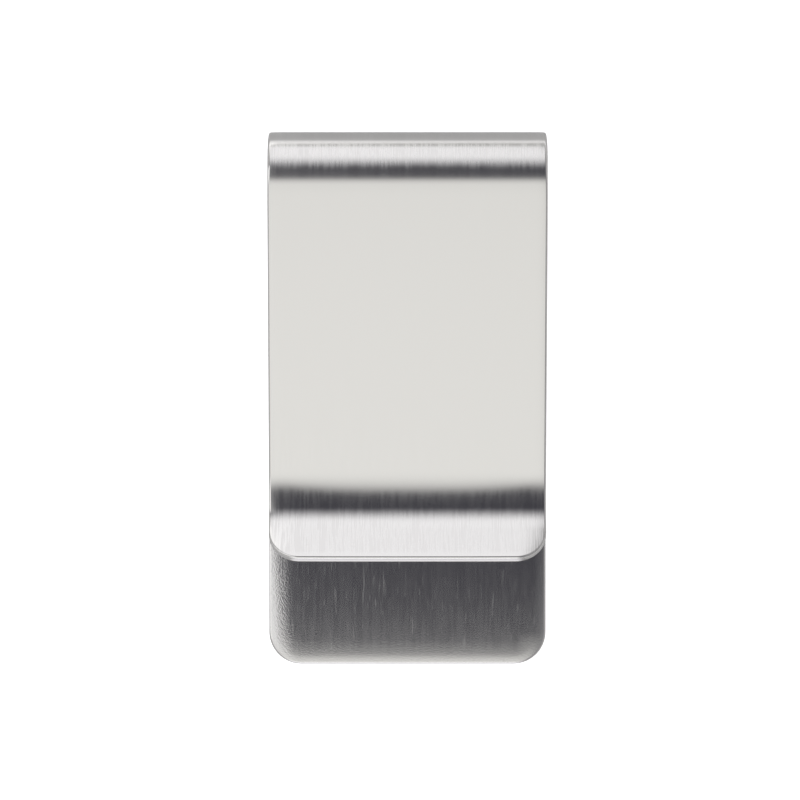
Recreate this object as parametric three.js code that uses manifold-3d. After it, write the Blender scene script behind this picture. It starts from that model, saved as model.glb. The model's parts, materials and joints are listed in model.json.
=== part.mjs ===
// Money clip: one strip of brushed spring steel, bent back on itself.
//
// Millimetres, +Z up. The clip lies on its flat back leaf with the fold at +Y and the free ends at -Y, and
// the origin is under the middle of its bounding box. The real clip is a single strip. Here it is split at
// its bend lines and at the apex of the fold, so that the spring's flex can be a hinge: the pieces above
// the apex swing up as one leaf, and the pieces below it stay.

import * as THREE from "three";
import { mergeVertices } from "three/addons/utils/BufferGeometryUtils.js";
import Module from "manifold-3d";

// The strip.
const WIDTH = 26.1;
const LENGTH = 50;
const THICKNESS = 0.85;

// The fold, a half turn that joins the two leaves.
const FOLD_OUTER_RADIUS = 3.7;
const APEX_GAP = 0.3;

// The front leaf, by the radii of its outer face: a soft shoulder after the fold, a straight panel that
// slopes down to the pinch, and a lip that flares up from it.
const SHOULDER_RADIUS = 7.6;
const PINCH_RADIUS = 18;
const PINCH_FROM_BACK_END = 15;
const PINCH_GAP = 0.12;
const LIP_BEND_RADIUS = 4;
const LIP_FLARE = THREE.MathUtils.degToRad(33);
const LIP_STRAIGHT = 3.2;

// The rounded corners of the two free ends.
const BACK_CORNER_RADIUS = 3;
const LIP_CORNER_RADIUS = 2.9;

// The angle between neighbouring points of a bend, and the spare material that a cut removes.
const BEND_STEP = THREE.MathUtils.degToRad(3);
const CORNER_SEGMENTS = 16;
const CUT_MARGIN = 2;

// Worked out from the dimensions above. y and z are those of the strip's middle line.
const HALF_THICKNESS = THICKNESS / 2;
const BACK_END_Y = -LENGTH / 2;
const FOLD_CENTRE_Y = LENGTH / 2 - FOLD_OUTER_RADIUS;
const FOLD_RADIUS = FOLD_OUTER_RADIUS - HALF_THICKNESS;
const CREST_Z = 2 * FOLD_OUTER_RADIUS - HALF_THICKNESS;
const PINCH_Y = BACK_END_Y + PINCH_FROM_BACK_END;
const PINCH_Z = THICKNESS + PINCH_GAP + HALF_THICKNESS;

const wasm = await Module();
wasm.setup();

const steel = new THREE.MeshStandardMaterial({ color: 0xcac8c4, roughness: 0.28, metalness: 1 });

// A stretch of the strip's middle line, seen from +X with +Y to the right and +Z up. A turn is in radians,
// positive anticlockwise.
function straight(length) {
  return { length, turn: 0 };
}

function bend(radius, turn) {
  return { length: radius * Math.abs(turn), turn };
}

// The stations along a run of stretches, each with its place and heading, starting from one station.
function walk(from, stretches) {
  const stations = [from];
  for (const { length, turn } of stretches) {
    const start = stations.at(-1);
    const steps = Math.max(1, Math.ceil(Math.abs(turn) / BEND_STEP));
    for (let step = 1; step <= steps; step++) {
      const swept = (turn * step) / steps;
      const chord = turn ? ((2 * length) / turn) * Math.sin(swept / 2) : length;
      const direction = start.heading + swept / 2;
      stations.push({
        y: start.y + chord * Math.cos(direction),
        z: start.z + chord * Math.sin(direction),
        heading: start.heading + swept,
      });
    }
  }
  return stations;
}

// The solid of the strip along some stations, this wide across X.
function bentStrip(stations, width = WIDTH) {
  const face = (side) =>
    stations.map(({ y, z, heading }) => {
      const offset = side * HALF_THICKNESS;
      return new THREE.Vector2(y - offset * Math.sin(heading), z + offset * Math.cos(heading));
    });
  const profile = new THREE.Shape([...face(1), ...face(-1).reverse()]);
  const geometry = new THREE.ExtrudeGeometry(profile, { depth: width, bevelEnabled: false });
  const [x, y, z] = [[1, 0, 0], [0, 1, 0], [0, 0, 1]].map((axis) => new THREE.Vector3(...axis));
  geometry.applyMatrix4(new THREE.Matrix4().makeBasis(y, z, x));
  return geometry.translate(-width / 2, 0, 0);
}

// A flat tongue as wide as the strip, from nearY to farY, with both corners at farY rounded.
function tongue(nearY, farY, cornerRadius, depth) {
  const side = WIDTH / 2;
  const centreX = side - cornerRadius;
  const centreY = farY + cornerRadius;
  const outline = new THREE.Shape();
  outline.moveTo(side, nearY);
  outline.lineTo(-side, nearY);
  outline.absarc(-centreX, centreY, cornerRadius, Math.PI, 1.5 * Math.PI);
  outline.absarc(centreX, centreY, cornerRadius, 1.5 * Math.PI, 2 * Math.PI);
  return new THREE.ExtrudeGeometry(outline, { depth, bevelEnabled: false, curveSegments: CORNER_SEGMENTS });
}

function toManifold(geometry) {
  const bare = geometry.clone();
  bare.deleteAttribute("normal");
  bare.deleteAttribute("uv");
  const merged = mergeVertices(bare);
  return new wasm.Manifold(
    new wasm.Mesh({
      numProp: 3,
      vertProperties: new Float32Array(merged.attributes.position.array),
      triVerts: new Uint32Array(merged.index.array),
    }),
  );
}

function toGeometry(solid) {
  const { vertProperties, triVerts } = solid.getMesh();
  const geometry = new THREE.BufferGeometry();
  geometry.setAttribute("position", new THREE.BufferAttribute(vertProperties, 3));
  geometry.setIndex(new THREE.BufferAttribute(triVerts, 1));
  geometry.computeVertexNormals();
  return geometry;
}

// The panel is tangent to the shoulder bend above it and to the pinch bend below it, which curve opposite
// ways, so its slope is that of the inner tangent to their two circles.
function panelSlope(shoulderRadius, pinchRadius) {
  const run = FOLD_CENTRE_Y - PINCH_Y;
  const rise = PINCH_Z + pinchRadius - (CREST_Z - shoulderRadius);
  const between = Math.hypot(run, rise);
  return Math.asin((shoulderRadius + pinchRadius) / between) - Math.atan2(rise, run);
}

// The half of the fold on one side of the apex, from the gap to the leaf. side is 1 above and -1 below.
function foldHalf(side) {
  const skipped = APEX_GAP / 2 / FOLD_RADIUS;
  const quarter = Math.PI / 2;
  const atGap = {
    y: FOLD_CENTRE_Y + FOLD_RADIUS * Math.cos(skipped),
    z: FOLD_OUTER_RADIUS + side * FOLD_RADIUS * Math.sin(skipped),
    heading: side * (quarter + skipped),
  };
  return bentStrip(walk(atGap, [bend(FOLD_RADIUS, side * (quarter - skipped))]));
}

function backPlate() {
  return tongue(FOLD_CENTRE_Y, BACK_END_Y, BACK_CORNER_RADIUS, THICKNESS);
}

function frontPanel() {
  const crest = { y: FOLD_CENTRE_Y, z: CREST_Z, heading: Math.PI };
  const shoulder = SHOULDER_RADIUS - HALF_THICKNESS;
  const pinch = PINCH_RADIUS + HALF_THICKNESS;
  const slope = panelSlope(shoulder, pinch);
  const level = crest.y - PINCH_Y - (shoulder + pinch) * Math.sin(slope);
  return bentStrip(
    walk(crest, [bend(shoulder, slope), straight(level / Math.cos(slope)), bend(pinch, -slope)]),
  );
}

function lip() {
  const pinch = { y: PINCH_Y, z: PINCH_Z, heading: Math.PI };
  const radius = LIP_BEND_RADIUS + HALF_THICKNESS;
  const stations = walk(pinch, [bend(radius, -LIP_FLARE), straight(LIP_STRAIGHT)]);
  const tip = stations.at(-1);
  const spare = walk(tip, [straight(CUT_MARGIN)]).at(-1);
  const blank = bentStrip([...stations, spare], WIDTH + 2 * CUT_MARGIN);
  const reach = LIP_STRAIGHT + radius + CUT_MARGIN;
  const corners = tongue(reach, 0, LIP_CORNER_RADIUS, 2 * reach);
  corners.translate(0, 0, -reach);
  corners.rotateX(-LIP_FLARE);
  corners.translate(0, tip.y, tip.z);
  return toGeometry(toManifold(blank).intersect(toManifold(corners)));
}

const clip = new THREE.Group();
const pieces = {
  back_plate: backPlate(),
  fold_lower: foldHalf(-1),
  fold_upper: foldHalf(1),
  front_panel: frontPanel(),
  lip: lip(),
};
for (const [name, geometry] of Object.entries(pieces)) {
  const mesh = new THREE.Mesh(geometry, steel);
  mesh.name = name;
  clip.add(mesh);
}

export default clip;
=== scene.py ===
"""A money clip: one strip of brushed stainless steel, folded over on itself.

The strip is modelled as the real one is made. A flat blank is drawn first, with rounded corners at its free
ends and soft, tumbled edges. It is then bent along the strip's middle line: the flat back leaf, the fold, the
sloping panel, the pinch and the flared lip. Three pieces share that one strip: each leaf hangs on a body of
its own, and the fold between them stays where it is bent. The strip is worked out in millimetres, and
Blender's objects are in metres.
"""

import json
import math

import bmesh
import bpy
import numpy as np
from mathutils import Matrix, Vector


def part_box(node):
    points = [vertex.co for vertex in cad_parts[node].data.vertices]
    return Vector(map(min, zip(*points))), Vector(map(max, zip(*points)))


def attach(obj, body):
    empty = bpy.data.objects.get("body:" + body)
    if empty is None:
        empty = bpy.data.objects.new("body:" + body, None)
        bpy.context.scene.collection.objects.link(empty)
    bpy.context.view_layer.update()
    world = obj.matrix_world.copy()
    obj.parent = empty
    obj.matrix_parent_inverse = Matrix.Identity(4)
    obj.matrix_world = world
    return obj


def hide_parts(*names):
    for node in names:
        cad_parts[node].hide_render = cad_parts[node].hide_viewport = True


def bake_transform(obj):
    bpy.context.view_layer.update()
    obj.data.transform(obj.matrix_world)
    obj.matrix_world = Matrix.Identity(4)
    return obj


MM = 0.001

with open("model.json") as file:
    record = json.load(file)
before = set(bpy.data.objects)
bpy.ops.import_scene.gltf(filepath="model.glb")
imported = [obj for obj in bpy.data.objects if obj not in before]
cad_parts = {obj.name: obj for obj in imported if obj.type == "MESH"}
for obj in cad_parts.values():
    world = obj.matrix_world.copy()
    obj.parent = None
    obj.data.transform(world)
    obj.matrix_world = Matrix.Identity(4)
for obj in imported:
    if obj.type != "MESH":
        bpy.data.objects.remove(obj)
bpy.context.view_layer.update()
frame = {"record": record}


# ---------------------------------------------------------------- the strip's dimensions, in millimetres

def box_mm(node):
    """The lowest and highest corners of a CAD node, in millimetres."""
    low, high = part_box(node)
    return low / MM, high / MM


plate_low, plate_high = box_mm("back_plate")
panel_low, panel_high = box_mm("front_panel")
lip_low, lip_high = box_mm("lip")
front_mount = next(m for m in frame["record"]["mounts"] if m["name"] == "front_face")

WIDTH = plate_high.x - plate_low.x
THICKNESS = plate_high.z - plate_low.z
HALF = THICKNESS / 2
BACK_END_Y = plate_low.y
FOLD_CENTRE_Y = plate_high.y
PINCH_Y = lip_high.y
FOLD_RADIUS = panel_high.z / 2 - HALF
PANEL_SLOPE = math.asin(-front_mount["axis"][1])

# The bends' radii, here from the upper face's to the middle line's.
SHOULDER_RADIUS = 7.6 - HALF
PINCH_RADIUS = 18 + HALF
LIP_BEND_RADIUS = 4 + HALF
LIP_FLARE = math.radians(33)
LIP_STRAIGHT = 3.2

# The free ends' corners and the strip's edges. The lip's tip is rounded most, where a thumb lifts it.
BACK_CORNER = 3.0
LIP_CORNER = 2.9
EDGE_RADIUS = 0.18
TIP_RADIUS = 0.24

# Tumbling and polishing lower a face towards its edge: that is its roll. There is a narrow one all round, and
# a wide, deeper one near the free ends on the face that shows. The back leaf's upper face also falls towards
# its end.
ROLL_DEPTH = 0.02
ROLL_REACH = 0.9
SIDE_ROLL_DEPTH = 0.2
TIP_ROLL_DEPTH = 0.028
WIDE_ROLL_REACH = 2.3
BACK_WORN_REACH = 40.0
LIP_WORN_REACH = 8.5
END_FALL_DEPTH = 0.22
END_FALL_REACH = 10.0

# A bend narrows the metal on its outside. It also widens it on its inside, but that bulge is polished off.
SIDEWAYS_STRAIN = 0.06
STRAIN_REACH = 1.0

# From the pinch on the strip curls up a little beside its middle. Across half the strip the curl is a sine
# wave that reaches this angle at the side, so it is highest just inside the side.
CURL_DEPTH = 0.042
CURL_REACH = 3.0
CURL_SHARPNESS = 4
CURL_WAVE = math.radians(120)

# How far the fold's piece runs into the straight stretches beside it.
SEAM_INSET = 0.5

# How finely the mesh follows all this.
COLUMN_STEP = 1.5
STRAIGHT_STEP = 1.0
BENT_STEP = 0.25
CORNER_STEPS = 20
ROLL_STEPS = 10
ROUND_STEPS = 12
SHARP_ANGLE = math.radians(40)


# ---------------------------------------------------------------- the strip's middle line

class MiddleLine:
    """The strip's middle line from the back leaf's free end to the tip of the lip, seen from +X.

    Each stretch has a length and a turn, positive anticlockwise, so the strip's inner face is on its left.
    """

    def __init__(self, y, z, stretches):
        self.stretches = []
        s = heading = 0.0
        for length, turn in stretches:
            self.stretches.append((s, y, z, heading, length, turn))
            y, z, heading = self._along(y, z, heading, length, turn, length)
            s += length
        self.length = s

    @staticmethod
    def _along(y, z, heading, length, turn, distance):
        swept = turn * distance / length
        chord = 2 * length / turn * math.sin(swept / 2) if turn else distance
        direction = heading + swept / 2
        return y + chord * math.cos(direction), z + chord * math.sin(direction), heading + swept

    def at(self, s):
        """The place (y, z) and the heading at a distance s along the line."""
        started = [stretch for stretch in self.stretches if stretch[0] <= s]
        s0, y, z, heading, length, turn = started[-1] if started else self.stretches[0]
        return self._along(y, z, heading, length, turn, s - s0)

    def curvature(self, s):
        """The bend at s, averaged over a short reach to each side, in radians per millimetre."""
        before, after = s - STRAIN_REACH, s + STRAIN_REACH
        return (self.at(after)[2] - self.at(before)[2]) / (after - before)

    def rows(self, low, high):
        """Places from low to high, close together wherever the strip bends."""
        joins = [stretch[0] for stretch in self.stretches if low < stretch[0] < high]
        rows = [low]
        for a, b in zip([low, *joins], [*joins, high]):
            bent = abs(self.at(b)[2] - self.at(a)[2]) > 1e-6
            rows += spread(a, b, BENT_STEP if bent else STRAIGHT_STEP)[1:]
        return rows


def spread(low, high, longest):
    """Evenly spaced values from low to high, no further apart than longest."""
    steps = max(1, math.ceil(abs(high - low) / longest))
    return [low + (high - low) * k / steps for k in range(steps + 1)]


def middle_line():
    run = FOLD_CENTRE_Y - PINCH_Y - (SHOULDER_RADIUS + PINCH_RADIUS) * math.sin(PANEL_SLOPE)
    return MiddleLine(
        BACK_END_Y,
        HALF,
        [
            (FOLD_CENTRE_Y - BACK_END_Y, 0),
            (math.pi * FOLD_RADIUS, math.pi),
            (SHOULDER_RADIUS * PANEL_SLOPE, PANEL_SLOPE),
            (run / math.cos(PANEL_SLOPE), 0),
            (PINCH_RADIUS * PANEL_SLOPE, -PANEL_SLOPE),
            (LIP_BEND_RADIUS * LIP_FLARE, -LIP_FLARE),
            (LIP_STRAIGHT, 0),
        ],
    )


line = middle_line()
BEND_START, CREST, SHOULDER_END, _, PINCH, _ = (stretch[0] for stretch in line.stretches[1:])
FOLD_START = BEND_START - SEAM_INSET
FOLD_END = SHOULDER_END + SEAM_INSET


# ---------------------------------------------------------------- the blank, and bending it

def fall_off(distance, reach):
    """1 at no distance, easing to 0 at the reach and beyond."""
    return max(0.0, 1 - distance / reach) ** 2


def blend(a, b, share):
    return a + (b - a) * share


def face_height(s, inset, inner, sideways):
    """How far a face is from the strip's middle, at a place this far in from the strip's outline. sideways is
    1 where the outline is a side of the strip, and 0 where it is a free end. The face that shows is the inner
    one at the back leaf's end and the outer one at the lip's."""
    worn = fall_off(s, BACK_WORN_REACH) if inner else fall_off(line.length - s, LIP_WORN_REACH)
    wide_roll = worn * blend(TIP_ROLL_DEPTH, SIDE_ROLL_DEPTH, sideways**2)
    roll = ROLL_DEPTH * fall_off(inset, ROLL_REACH) + wide_roll * fall_off(inset, WIDE_ROLL_REACH)
    end_fall = END_FALL_DEPTH * fall_off(s, END_FALL_REACH) if inner else 0.0
    at_tip = s > line.length / 2 and not inner
    radius = blend(TIP_RADIUS, EDGE_RADIUS, sideways**2) if at_tip else EDGE_RADIUS
    rounding = radius - math.sqrt(radius**2 - max(0.0, radius - inset) ** 2)
    return HALF - end_fall - roll - rounding


def ease(share):
    """share held between 0 and 1, with a gentle start and end."""
    share = min(1.0, max(0.0, share))
    return share**2 * (3 - 2 * share)


def curl(u, s):
    """How far the strip is lifted on both sides of its middle, at the pinch and along the lip."""
    across = math.sin(CURL_WAVE * abs(2 * u / WIDTH) ** CURL_SHARPNESS)
    return CURL_DEPTH * across * ease(1 - (PINCH - s) / CURL_REACH)


def edge_insets():
    """Distances in from the outline, from the end of the roll down to the outline itself."""
    rolled = spread(WIDE_ROLL_REACH, TIP_RADIUS, (WIDE_ROLL_REACH - TIP_RADIUS) / ROLL_STEPS)
    quarter = spread(math.pi / 2, 0, math.pi / 2 / ROUND_STEPS)
    return rolled[:-1] + [TIP_RADIUS * (1 - math.cos(angle)) for angle in quarter]


INSETS = edge_insets()


class Blank:
    """A closed mesh drawn on the flat strip: u across it, s along it and t through it."""

    def __init__(self, corner):
        self.corner = corner
        self.columns = spread(corner - WIDTH / 2, WIDTH / 2 - corner, COLUMN_STEP)
        self.points = []
        self.numbers = {}
        self.faces = []

    def point(self, u, s, inset, inner, sideways=0.0):
        """The number of a point. Two calls with the same place give the same point."""
        t = face_height(s, inset, inner, sideways) * (1 if inner else -1)
        key = (round(u, 4), round(s, 4), round(t, 4))
        if key not in self.numbers:
            self.numbers[key] = len(self.points)
            self.points.append((u, s, t))
        return self.numbers[key]

    def face(self, *corners):
        ring = [corner for k, corner in enumerate(corners) if corner != corners[k - 1]]
        if len(ring) > 2:
            self.faces.append(ring)

    def join(self, ring, following, closed):
        """Faces between two neighbouring rings of points."""
        for k in range(0 if closed else 1, len(ring)):
            self.face(ring[k - 1], ring[k], following[k], following[k - 1])

    def edge(self, u, s, outward):
        """Points from the inner face round the edge to the outer face, the way that outward points."""
        insets = [self.corner, *INSETS]
        around = [(inset, True) for inset in insets] + [(inset, False) for inset in reversed(insets)]
        ring = []
        for inset, inner in around:
            reach = self.corner - inset
            place = (u + reach * outward[0], s + reach * outward[1])
            ring.append(self.point(*place, inset, inner, abs(outward[0])))
        return ring

    def section(self, s):
        """The ring of points right round the strip at s."""
        left, right = self.columns[0], self.columns[-1]
        outer = [self.point(u, s, self.corner, False) for u in self.columns[1:-1]]
        inner = [self.point(u, s, self.corner, True) for u in self.columns[-2:0:-1]]
        return self.edge(left, s, (-1, 0)) + outer + self.edge(right, s, (1, 0))[::-1] + inner

    def tube(self, low, high):
        sections = [self.section(s) for s in line.rows(low, high)]
        for section, following in zip(sections, sections[1:]):
            self.join(section, following, closed=True)

    def cap(self, s):
        self.face(*self.section(s))

    def round_end(self, s, along):
        """The free end beyond s, with its two rounded corners. along is 1 or -1, the way that it points."""
        quarter = spread(0, math.pi / 2, math.pi / 2 / CORNER_STEPS)
        spine = [(self.columns[0], -math.cos(a), math.sin(a)) for a in quarter]
        spine += [(u, 0, 1) for u in self.columns]
        spine += [(self.columns[-1], math.cos(a), math.sin(a)) for a in reversed(quarter)]
        edges = [self.edge(u, s, (across, along * out)) for u, across, out in spine]
        for edge, following in zip(edges, edges[1:]):
            self.join(edge, following, closed=False)

    def bend(self, name):
        """The blank bent onto the middle line, as an object in metres. Each point keeps its place on the flat
        strip in the attribute flat_strip, so that the brushing runs along the strip and round its bends."""
        bent = []
        for u, s, t in self.points:
            y, z, heading = line.at(s)
            x = u * (1 + min(0.0, SIDEWAYS_STRAIN * line.curvature(s) * t))
            t -= curl(u, s)
            bent.append(Vector((x, y - t * math.sin(heading), z + t * math.cos(heading))) * MM)
        mesh = bpy.data.meshes.new(name)
        mesh.from_pydata(bent, [], self.faces)
        flat = mesh.attributes.new("flat_strip", "FLOAT_VECTOR", "POINT")
        flat.data.foreach_set("vector", np.array(self.points, np.float32).ravel())
        outward = bmesh.new()
        outward.from_mesh(mesh)
        bmesh.ops.recalc_face_normals(outward, faces=outward.faces)
        outward.to_mesh(mesh)
        outward.free()
        mesh.shade_smooth()
        mesh.set_sharp_from_angle(angle=SHARP_ANGLE)
        mesh.materials.append(steel)
        piece = bpy.data.objects.new(name, mesh)
        bpy.context.scene.collection.objects.link(piece)
        return piece


# ---------------------------------------------------------------- brushed steel

class Nodes:
    """A small helper for building a material's nodes."""

    def __init__(self, tree):
        self.tree = tree

    def add(self, kind, inputs=None, **settings):
        node = self.tree.nodes.new(kind)
        for key, value in settings.items():
            setattr(node, key, value)
        for key, value in (inputs or {}).items():
            if isinstance(value, bpy.types.NodeSocket):
                self.tree.links.new(value, node.inputs[key])
            else:
                node.inputs[key].default_value = value
        return node

    def noise(self, place, size, detail, seed, turned=0.0):
        """Noise whose features are this large, in millimetres across, along and through the strip. turned is
        the angle in radians that the pattern is turned by on the strip's face."""
        inputs = {"Vector": place, "Scale": [1 / d for d in size], "Rotation": (0, 0, turned)}
        scaled = self.add("ShaderNodeMapping", inputs)
        texture = self.add(
            "ShaderNodeTexNoise",
            {"Vector": scaled.outputs[0], "W": seed, "Scale": 1.0, "Detail": detail},
            noise_dimensions="4D",
        )
        return texture.outputs["Fac"]

    def ramp(self, value, low, high, to_low, to_high):
        """value from low..high turned into to_low..to_high, and held there beyond."""
        inputs = {"Value": value, "From Min": low, "From Max": high, "To Min": to_low, "To Max": to_high}
        return self.add("ShaderNodeMapRange", inputs, interpolation_type="SMOOTHSTEP").outputs[0]

    def profile(self, along, stops):
        """A value that changes along the strip: pairs of a place in millimetres and the value there."""
        node = self.add("ShaderNodeValToRGB", {0: self.maths("DIVIDE", along, line.length)})
        elements = node.color_ramp.elements
        while len(elements) < len(stops):
            elements.new(1.0)
        for element, (place, value) in zip(elements, stops):
            element.position = place / line.length
            element.color = (value, value, value, 1)
        return node.outputs["Color"]

    def maths(self, operation, a, b):
        return self.add("ShaderNodeMath", {0: a, 1: b}, operation=operation).outputs[0]

    def mix(self, a, b, amount, kind="MIX"):
        """Two colours mixed by an amount from 0, all a, to 1, all b."""
        inputs = {0: amount, 6: a, 7: b}
        return self.add("ShaderNodeMix", inputs, data_type="RGBA", blend_type=kind).outputs[2]


# What the brushing leaves on the steel: sizes are in millimetres across, along and through the strip.
HAIRLINE = (0.12, 2.2, 0.5)
BAND = (0.5, 9.0, 2.0)
SCRATCH = (0.2, 1.7, 0.6)
GRAIN = (0.12, 0.12, 0.3)
GRAIN_TURNED = 0.5
HAIRLINE_HEIGHT = 0.005 * MM
BAND_HEIGHT = 0.001 * MM
GRAIN_HEIGHT = 0.0095 * MM

# Streaks are mostly hairlines, with some of the wider bands. Noise keeps near 0.5, so they run through their
# whole range between the first two values, and scratches are the peaks beyond the last two.
HAIRLINE_SHARE = 0.6
STREAK_FROM, STREAK_TO = 0.44, 0.56
SCRATCH_FROM, SCRATCH_TO = 0.60, 0.76
STREAK_ROUGHNESS = 0.24
SCRATCH_ROUGHNESS = 0.045
STEEL_LIGHT = (0.67, 0.66, 0.65, 1)
STEEL_DARK = (0.56, 0.55, 0.54, 1)

# How rough the steel is along the strip, and how strong the brushing is along its outer face. The brushing
# shows most on the fold and on the lip, and least on the panel between them.
ROUGHNESS = [
    (BEND_START - 1, 0.155),
    (BEND_START, 0.187),
    (SHOULDER_END, 0.187),
    (SHOULDER_END + 1, 0.165),
    (PINCH - 4, 0.15),
    (PINCH, 0.15),
    (PINCH + 1, 0.165),
]
BRUSHING = [
    (CREST - 4.2, 0.45),
    (CREST - 3.0, 0.08),
    (CREST - 2.3, 0.08),
    (CREST - 1.8, 1.0),
    (CREST - 0.8, 1.0),
    (CREST, 0.06),
    (PINCH + 0.4, 0.1),
    (PINCH + 1.4, 0.9),
    (line.length - 0.6, 0.9),
    (line.length - 0.4, 0.06),
]

# The inner face is hardly brushed. It has scratches, and a grain that is strongest along its left side and
# stronger than elsewhere at its end. Both fade out between two distances from there, in millimetres. The two
# faces' looks meet within a short distance of the strip's middle.
INNER_BRUSHING = 0.06
GRAIN_AT_LEFT = 1.0
GRAIN_AT_END = 0.2
GRAIN_ELSEWHERE = 0.03
LEFT_FADE = (1.2, 2.88)
END_FADE = (2.5, 10.0)
FACES_MEET = 0.1


def brushed_steel():
    material = bpy.data.materials.new("brushed_steel")
    material.use_nodes = True
    nodes = Nodes(material.node_tree)
    shader = material.node_tree.nodes["Principled BSDF"]
    shader.inputs["Metallic"].default_value = 1.0
    place = nodes.add("ShaderNodeAttribute", attribute_name="flat_strip").outputs["Vector"]
    across, along, through = nodes.add("ShaderNodeSeparateXYZ", {0: place}).outputs

    inner = nodes.ramp(through, -FACES_MEET, FACES_MEET, 0.0, 1.0)
    outer = nodes.maths("SUBTRACT", 1.0, inner)
    outer_brushing = nodes.maths("MULTIPLY", nodes.profile(along, BRUSHING), outer)
    brushing = nodes.maths("MAXIMUM", outer_brushing, INNER_BRUSHING)
    from_left = nodes.maths("ADD", across, WIDTH / 2)
    near_left = nodes.ramp(from_left, *LEFT_FADE, GRAIN_AT_LEFT, GRAIN_ELSEWHERE)
    near_end = nodes.ramp(along, *END_FADE, GRAIN_AT_END, GRAIN_ELSEWHERE)
    grainy = nodes.maths("MULTIPLY", inner, nodes.maths("MAXIMUM", near_left, near_end))

    hairlines = nodes.noise(place, HAIRLINE, 1.0, 1.3)
    bands = nodes.noise(place, BAND, 1.0, 5.3)
    grain = nodes.noise(place, GRAIN, 0.0, 9.3, turned=GRAIN_TURNED)
    peaks = nodes.noise(place, SCRATCH, 1.0, 13.3)
    scratches = nodes.ramp(peaks, SCRATCH_FROM, SCRATCH_TO, 0.0, SCRATCH_ROUGHNESS)

    uneven = nodes.maths(
        "ADD",
        nodes.maths("MULTIPLY", hairlines, HAIRLINE_SHARE),
        nodes.maths("MULTIPLY", bands, 1 - HAIRLINE_SHARE),
    )
    streaks = nodes.ramp(uneven, STREAK_FROM, STREAK_TO, -0.5, 0.5)
    streaks = nodes.maths("MULTIPLY", streaks, brushing)
    colour = nodes.mix(STEEL_DARK, STEEL_LIGHT, nodes.maths("ADD", streaks, 0.5))
    nodes.tree.links.new(colour, shader.inputs["Base Color"])

    rough = nodes.maths("ADD", nodes.profile(along, ROUGHNESS), nodes.maths("MULTIPLY", scratches, inner))
    streaked = nodes.maths("MULTIPLY", streaks, STREAK_ROUGHNESS)
    nodes.tree.links.new(nodes.maths("ADD", rough, streaked), shader.inputs["Roughness"])

    bumps = [
        (bands, BAND_HEIGHT, 1.0),
        (hairlines, HAIRLINE_HEIGHT, brushing),
        (grain, GRAIN_HEIGHT, grainy),
    ]
    normal = None
    for height, distance, strength in bumps:
        inputs = {"Height": height, "Distance": distance, "Strength": strength}
        if normal is not None:
            inputs["Normal"] = normal
        normal = nodes.add("ShaderNodeBump", inputs).outputs[0]
    nodes.tree.links.new(normal, shader.inputs["Normal"])
    return material


steel = brushed_steel()


# ---------------------------------------------------------------- the three pieces of the strip

def back_leaf():
    blank = Blank(BACK_CORNER)
    blank.tube(BACK_CORNER, FOLD_START)
    blank.round_end(BACK_CORNER, -1)
    blank.cap(FOLD_START)
    piece = blank.bend("back_leaf_strip")
    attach(piece, "back_leaf")
    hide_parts("back_plate")


def fold():
    """The fold between the leaves, as one piece that stays where it is bent."""
    blank = Blank(LIP_CORNER)
    blank.tube(FOLD_START, FOLD_END)
    blank.cap(FOLD_START)
    blank.cap(FOLD_END)
    piece = blank.bend("fold_strip")
    upper = line.at(FOLD_END)[1] - THICKNESS
    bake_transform(piece)
    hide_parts("fold_lower", "fold_upper")


def front_leaf():
    blank = Blank(LIP_CORNER)
    blank.cap(FOLD_END)
    blank.tube(FOLD_END, line.length - LIP_CORNER)
    blank.round_end(line.length - LIP_CORNER, 1)
    piece = blank.bend("front_leaf_strip")
    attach(piece, "front_leaf")
    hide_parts("front_panel", "lip")


back_leaf()
fold()
front_leaf()


# ---------------------------------------------------------------- floor, light and camera

FLOOR_SIZE = 6.0
FLOOR_PALE = (0.78, 0.78, 0.78, 1)
FLOOR_GLOW = 0.85
SHEET_EDGE = (50 * MM, 75 * MM)
BEYOND_SHEET = 0.65


def floor():
    """A pale floor that glows like a light table where the camera sees it, so that the object throws almost
    no shadow. What the steel reflects is a floor that is lit from above only, and that glows beyond the edge
    of the sheet that the clip lies on."""
    bpy.ops.mesh.primitive_plane_add(size=FLOOR_SIZE)
    plane = bpy.context.object
    plane.name = "floor"
    material = bpy.data.materials.new("floor")
    material.use_nodes = True
    nodes = Nodes(material.node_tree)
    shader = material.node_tree.nodes["Principled BSDF"]
    shader.inputs["Base Color"].default_value = FLOOR_PALE
    shader.inputs["Roughness"].default_value = 1.0
    shader.inputs["Specular IOR Level"].default_value = 0.0
    shader.inputs["Emission Color"].default_value = (1, 1, 1, 1)
    place = nodes.add("ShaderNodeNewGeometry").outputs["Position"]
    distance = nodes.add("ShaderNodeVectorMath", {0: place}, operation="LENGTH").outputs["Value"]
    beyond = nodes.ramp(distance, *SHEET_EDGE, 0.0, BEYOND_SHEET)
    seen = nodes.add("ShaderNodeLightPath").outputs["Is Camera Ray"]
    glow = nodes.maths("MAXIMUM", beyond, nodes.maths("MULTIPLY", seen, FLOOR_GLOW))
    nodes.tree.links.new(glow, shader.inputs["Emission Strength"])
    plane.data.materials.append(material)


# The room, by angles off the zenith in degrees. A light starts at the first angle of its reach and is at full
# strength by the second. The lengthways lights are one on the fold's side and three on the open side. Each
# fades to a grey on the right, between its last two angles, and to another on the far left.
LENGTHWAYS_LIGHTS = [
    ((4, 45), (1.38, 1.38, 1.41, 1), (0, 42)),
    ((-7, -13.4), (0.92, 0.92, 0.90, 1), (3, 22)),
    ((-11, -19), (1.22, 1.22, 1.19, 1), (3, 22)),
    ((-50, -68), (2.20, 2.20, 2.36, 1), (15, 60)),
]
FAR_RIGHT_GREY = (0.3, 0.3, 0.3, 1)
FAR_LEFT_GREY = (0.6, 0.6, 0.6, 1)

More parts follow.
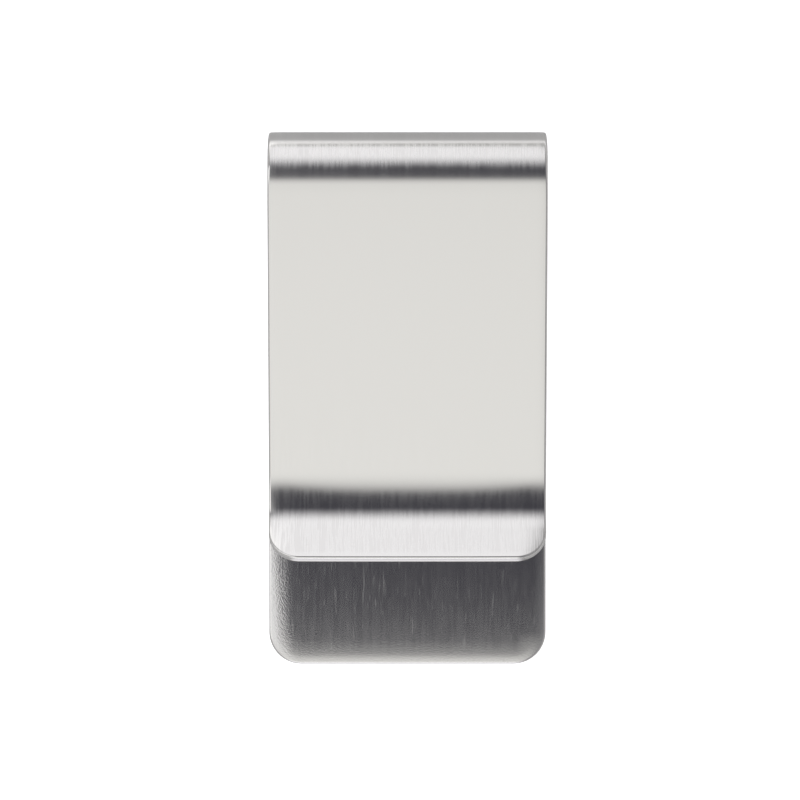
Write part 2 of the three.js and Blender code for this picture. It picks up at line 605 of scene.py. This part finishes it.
# The left lights are narrow: they end this far off the middle, lengthways. The right light is weak and wide.
LEFT_LIGHTS = [
    ((-3, -17), (1.15, 1.15, 1.16, 1)),
    ((-15, -35), (1.55, 1.55, 1.56, 1)),
]
LEFT_LIGHTS_END = (10, 22)
RIGHT_REACH = (6, 36)
RIGHT_LIGHT = (0.45, 0.45, 0.46, 1)

# One more light stands low in the corner between the fold's side and the left.
CORNER_LEFTWARDS = (-15, -35)
CORNER_FOLDWARDS = (40, 65)
CORNER_WHITE = (1.7, 1.7, 1.7, 1)

# How far to the left a direction points, as the X of a unit vector, where lights fade and the corner ends.
LEFT_FADES = (-0.2, -0.6)
CORNER_ENDS = (-0.4, -0.7)

CEILING_GREY = (0.059, 0.058, 0.073, 1)
HORIZON_WHITE = (0.66, 0.66, 0.65, 1)
HORIZON_ELEVATION = (6, 21)


def studio():
    """The room: a dim ceiling over the clip, and soft lights round it that reach down to the pale horizon."""
    sky = bpy.data.worlds.new("studio")
    sky.use_nodes = True
    bpy.context.scene.world = sky
    nodes = Nodes(sky.node_tree)
    direction = nodes.add("ShaderNodeTexCoord").outputs["Generated"]
    x, y, z = nodes.add("ShaderNodeSeparateXYZ", {0: direction}).outputs
    sideways = nodes.maths("ARCTAN2", x, z)
    lengthways = nodes.maths("ARCTAN2", y, z)

    def within(angle, reach, low=0.0, high=1.0):
        """low before an angle gets to the reach, high beyond it, and a smooth change between."""
        return nodes.ramp(angle, math.radians(reach[0]), math.radians(reach[1]), low, high)

    lights = []
    on_left = nodes.ramp(x, *LEFT_FADES, 0.0, 1.0)
    for reach, colour, right_fade in LENGTHWAYS_LIGHTS:
        faded = nodes.mix(colour, FAR_RIGHT_GREY, within(sideways, right_fade))
        lights.append((within(lengthways, reach), nodes.mix(faded, FAR_LEFT_GREY, on_left)))

    narrow = within(nodes.maths("ABSOLUTE", lengthways, 0), LEFT_LIGHTS_END, 1.0, 0.0)
    for reach, colour in LEFT_LIGHTS:
        lights.append((nodes.maths("MULTIPLY", within(sideways, reach), narrow), colour))
    lights.append((within(sideways, RIGHT_REACH), RIGHT_LIGHT))

    corner = nodes.maths(
        "MULTIPLY",
        nodes.maths("MULTIPLY", within(sideways, CORNER_LEFTWARDS), within(lengthways, CORNER_FOLDWARDS)),
        nodes.ramp(x, *CORNER_ENDS, 1.0, 0.0),
    )
    lights.append((corner, CORNER_WHITE))

    colour = CEILING_GREY
    for amount, light in lights:
        colour = nodes.mix(colour, light, amount, "LIGHTEN")
    low = within(nodes.maths("ARCSINE", z, 0), HORIZON_ELEVATION, 1.0, 0.0)
    colour = nodes.mix(colour, nodes.mix(HORIZON_WHITE, CORNER_WHITE, corner), low)
    nodes.tree.links.new(colour, sky.node_tree.nodes["Background"].inputs["Color"])


# The camera stands straight above the clip, a little off its middle.
CAMERA_PLACE = Vector((-0.70, -0.10, 400)) * MM
FOCAL_LENGTH = 190.3
SENSOR_WIDTH = 36
NEAREST = 0.01


def camera():
    """Looks straight down, with the fold at the top of the frame."""
    lens = bpy.data.cameras.new("camera")
    lens.lens = FOCAL_LENGTH
    lens.sensor_width = SENSOR_WIDTH
    lens.clip_start = NEAREST
    above = bpy.data.objects.new("camera", lens)
    above.location = CAMERA_PLACE
    bpy.context.scene.collection.objects.link(above)
    bpy.context.scene.camera = above


floor()
studio()
camera()
bpy.context.scene.view_settings.view_transform = "Standard"
